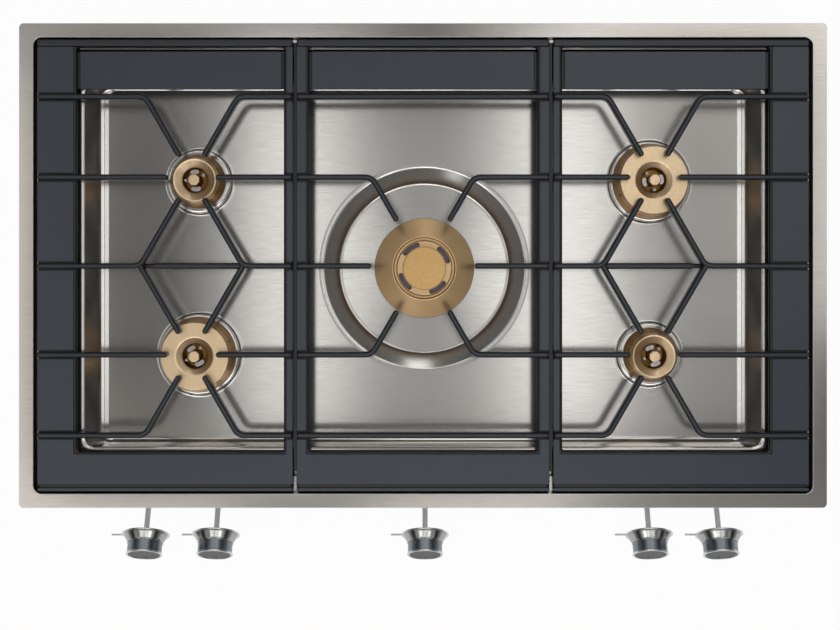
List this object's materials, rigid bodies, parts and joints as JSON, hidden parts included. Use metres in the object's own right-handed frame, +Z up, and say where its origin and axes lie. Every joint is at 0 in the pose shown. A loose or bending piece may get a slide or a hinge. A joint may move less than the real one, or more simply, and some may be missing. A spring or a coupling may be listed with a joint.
{
  "type": "gas cooktop",
  "caption": "Built-in gas cooktop: recessed steel tray, brass burners, lift-out cast pan supports and push-and-turn knobs on front spindles.",
  "frame": {"origin": "centre of the flat underside of the burner box, below the centre of the rim", "axes": "+X to the right along the length, +Y to the back, away from the knobs, +Z up"},
  "size_m": [0.9, 0.6088, 0.1133],
  "materials": {
    "brushed_steel": "brushed stainless steel, grain along the length",
    "zinc_sheet": "zinc-coated sheet and fittings",
    "cast_enamel": "satin dark grey enamel on cast iron",
    "brass": "satin turned brass",
    "dark_brass": "heat-darkened brass",
    "ceramic": "white ceramic",
    "probe_steel": "plain steel",
    "tap_metal": "die-cast",
    "knob_steel": "turned, satin",
    "pipe": "bare tube",
    "seal": "foam strip",
    "module": "moulded"
  },
  "bodies": {
    "hob_body": {"tray": "brushed_steel", "worktop_seal": "seal", "burner_box": "zinc_sheet", "tap_bracket": "zinc_sheet", "gas_rail": "zinc_sheet", "ignition_module": "module", "gas_tap_1": "tap_metal", "gas_tap_2": "tap_metal", "gas_tap_3": "tap_metal", "gas_tap_4": "tap_metal", "gas_tap_5": "tap_metal", "gas_pipe_1": "pipe", "gas_pipe_2": "pipe", "gas_pipe_3": "pipe", "gas_pipe_4": "pipe", "gas_pipe_5": "pipe", "burner_base_rear_left": "dark_brass", "burner_base_front_left": "dark_brass", "burner_base_rear_right": "dark_brass", "burner_base_front_right": "dark_brass", "wok_burner_base": "dark_brass", "igniter_rear_left": "ceramic", "igniter_front_left": "ceramic", "igniter_rear_right": "ceramic", "igniter_front_right": "ceramic", "igniter_wok": "ceramic", "thermocouple_rear_left": "probe_steel", "thermocouple_front_left": "probe_steel", "thermocouple_rear_right": "probe_steel", "thermocouple_front_right": "probe_steel", "thermocouple_wok": "probe_steel"},
    "pan_support_left": {"pan_support_left": "cast_enamel"},
    "pan_support_centre": {"pan_support_centre": "cast_enamel"},
    "pan_support_right": {"pan_support_right": "cast_enamel"},
    "burner_ring_rear_left": {"burner_ring_rear_left": "brass"},
    "burner_cap_rear_left": {"burner_cap_rear_left": "brass"},
    "burner_ring_front_left": {"burner_ring_front_left": "brass"},
    "burner_cap_front_left": {"burner_cap_front_left": "brass"},
    "burner_ring_rear_right": {"burner_ring_rear_right": "brass"},
    "burner_cap_rear_right": {"burner_cap_rear_right": "brass"},
    "burner_ring_front_right": {"burner_ring_front_right": "brass"},
    "burner_cap_front_right": {"burner_cap_front_right": "brass"},
    "wok_outer_ring": {"wok_outer_ring": "brass"},
    "wok_inner_ring": {"wok_inner_ring": "brass"},
    "wok_cap": {"wok_cap": "brass"},
    "tap_plug_1": {"tap_plug_1": "brass"},
    "knob_1": {"tap_spindle_1": "probe_steel", "knob_1": "knob_steel"},
    "tap_plug_2": {"tap_plug_2": "brass"},
    "knob_2": {"tap_spindle_2": "probe_steel", "knob_2": "knob_steel"},
    "tap_plug_3": {"tap_plug_3": "brass"},
    "knob_3": {"tap_spindle_3": "probe_steel", "knob_3": "knob_steel"},
    "tap_plug_4": {"tap_plug_4": "brass"},
    "knob_4": {"tap_spindle_4": "probe_steel", "knob_4": "knob_steel"},
    "tap_plug_5": {"tap_plug_5": "brass"},
    "knob_5": {"tap_spindle_5": "probe_steel", "knob_5": "knob_steel"}
  },
  "joints": [
    {"name": "lift_support_left", "type": "slide", "parent": "hob_body", "child": "pan_support_left", "axis": [0, 0, 1], "range_m": [0, 0.15]},
    {"name": "lift_support_centre", "type": "slide", "parent": "hob_body", "child": "pan_support_centre", "axis": [0, 0, 1], "range_m": [0, 0.15]},
    {"name": "lift_support_right", "type": "slide", "parent": "hob_body", "child": "pan_support_right", "axis": [0, 0, 1], "range_m": [0, 0.15]},
    {"name": "lift_ring_rear_left", "type": "slide", "parent": "hob_body", "child": "burner_ring_rear_left", "axis": [0, 0, 1], "range_m": [0, 0.06]},
    {"name": "lift_cap_rear_left", "type": "slide", "parent": "hob_body", "child": "burner_cap_rear_left", "axis": [0, 0, 1], "range_m": [0, 0.04]},
    {"name": "lift_ring_front_left", "type": "slide", "parent": "hob_body", "child": "burner_ring_front_left", "axis": [0, 0, 1], "range_m": [0, 0.06]},
    {"name": "lift_cap_front_left", "type": "slide", "parent": "hob_body", "child": "burner_cap_front_left", "axis": [0, 0, 1], "range_m": [0, 0.04]},
    {"name": "lift_ring_rear_right", "type": "slide", "parent": "hob_body", "child": "burner_ring_rear_right", "axis": [0, 0, 1], "range_m": [0, 0.06]},
    {"name": "lift_cap_rear_right", "type": "slide", "parent": "hob_body", "child": "burner_cap_rear_right", "axis": [0, 0, 1], "range_m": [0, 0.04]},
    {"name": "lift_ring_front_right", "type": "slide", "parent": "hob_body", "child": "burner_ring_front_right", "axis": [0, 0, 1], "range_m": [0, 0.06]},
    {"name": "lift_cap_front_right", "type": "slide", "parent": "hob_body", "child": "burner_cap_front_right", "axis": [0, 0, 1], "range_m": [0, 0.04]},
    {"name": "lift_wok_outer_ring", "type": "slide", "parent": "hob_body", "child": "wok_outer_ring", "axis": [0, 0, 1], "range_m": [0, 0.06]},
    {"name": "lift_wok_inner_ring", "type": "slide", "parent": "hob_body", "child": "wok_inner_ring", "axis": [0, 0, 1], "range_m": [0, 0.04]},
    {"name": "lift_wok_cap", "type": "slide", "parent": "wok_inner_ring", "child": "wok_cap", "axis": [0, 0, 1], "range_m": [0, 0.03]},
    {"name": "turn_knob_1", "type": "hinge", "parent": "hob_body", "child": "tap_plug_1", "pos_m": [-0.3153, -0.3054, 0.076], "axis": [0, -0.891, 0.454], "range_deg": [0, 210]},
    {"name": "push_knob_1", "type": "slide", "parent": "tap_plug_1", "child": "knob_1", "axis": [0, 0.891, -0.454], "range_m": [0, 0.004], "stiffness_N_per_m": 1500, "springref_m": -0.003},
    {"name": "turn_knob_2", "type": "hinge", "parent": "hob_body", "child": "tap_plug_2", "pos_m": [-0.2355, -0.3054, 0.076], "axis": [0, -0.891, 0.454], "range_deg": [0, 210]},
    {"name": "push_knob_2", "type": "slide", "parent": "tap_plug_2", "child": "knob_2", "axis": [0, 0.891, -0.454], "range_m": [0, 0.004], "stiffness_N_per_m": 1500, "springref_m": -0.003},
    {"name": "turn_knob_3", "type": "hinge", "parent": "hob_body", "child": "tap_plug_3", "pos_m": [0.0023, -0.3054, 0.076], "axis": [0, -0.891, 0.454], "range_deg": [0, 210]},
    {"name": "push_knob_3", "type": "slide", "parent": "tap_plug_3", "child": "knob_3", "axis": [0, 0.891, -0.454], "range_m": [0, 0.004], "stiffness_N_per_m": 1500, "springref_m": -0.003},
    {"name": "turn_knob_4", "type": "hinge", "parent": "hob_body", "child": "tap_plug_4", "pos_m": [0.2572, -0.3054, 0.076], "axis": [0, -0.891, 0.454], "range_deg": [0, 210]},
    {"name": "push_knob_4", "type": "slide", "parent": "tap_plug_4", "child": "knob_4", "axis": [0, 0.891, -0.454], "range_m": [0, 0.004], "stiffness_N_per_m": 1500, "springref_m": -0.003},
    {"name": "turn_knob_5", "type": "hinge", "parent": "hob_body", "child": "tap_plug_5", "pos_m": [0.337, -0.3054, 0.076], "axis": [0, -0.891, 0.454], "range_deg": [0, 210]},
    {"name": "push_knob_5", "type": "slide", "parent": "tap_plug_5", "child": "knob_5", "axis": [0, 0.891, -0.454], "range_m": [0, 0.004], "stiffness_N_per_m": 1500, "springref_m": -0.003}
  ],
  "couplings": [
    {"joint": "lift_ring_rear_left", "follows": "lift_support_left", "ratio": 0.4},
    {"joint": "lift_ring_front_left", "follows": "lift_support_left", "ratio": 0.4},
    {"joint": "lift_ring_rear_right", "follows": "lift_support_right", "ratio": 0.4},
    {"joint": "lift_ring_front_right", "follows": "lift_support_right", "ratio": 0.4},
    {"joint": "lift_wok_outer_ring", "follows": "lift_support_centre", "ratio": 0.4}
  ]
}
